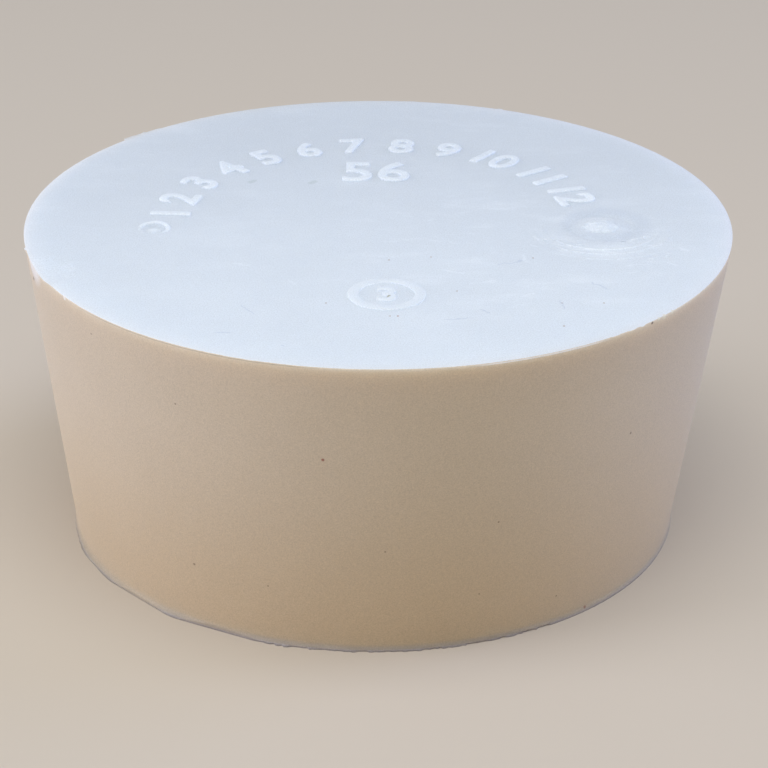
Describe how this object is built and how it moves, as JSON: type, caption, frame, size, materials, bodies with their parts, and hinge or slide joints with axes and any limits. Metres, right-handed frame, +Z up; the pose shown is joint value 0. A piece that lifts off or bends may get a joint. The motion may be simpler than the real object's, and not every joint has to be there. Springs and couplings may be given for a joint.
{
  "type": "rubber stopper",
  "caption": "Solid tapered rubber stopper without a hole, wide face up, for plugging a wide round neck.",
  "frame": {"origin": "centre of the narrow face, which the stopper rests on", "axes": "+Z up along the taper's axis, from the narrow face to the wide face; the ring mark lies towards -X and the dome mark towards +X; -Y is the front that the picture shows"},
  "size_m": [0.056, 0.056, 0.0254],
  "materials": {
    "rubber": "moulded off-white rubber with a faint satin sheen"
  },
  "bodies": {
    "root": {"stopper": "rubber"}
  },
  "joints": []
}
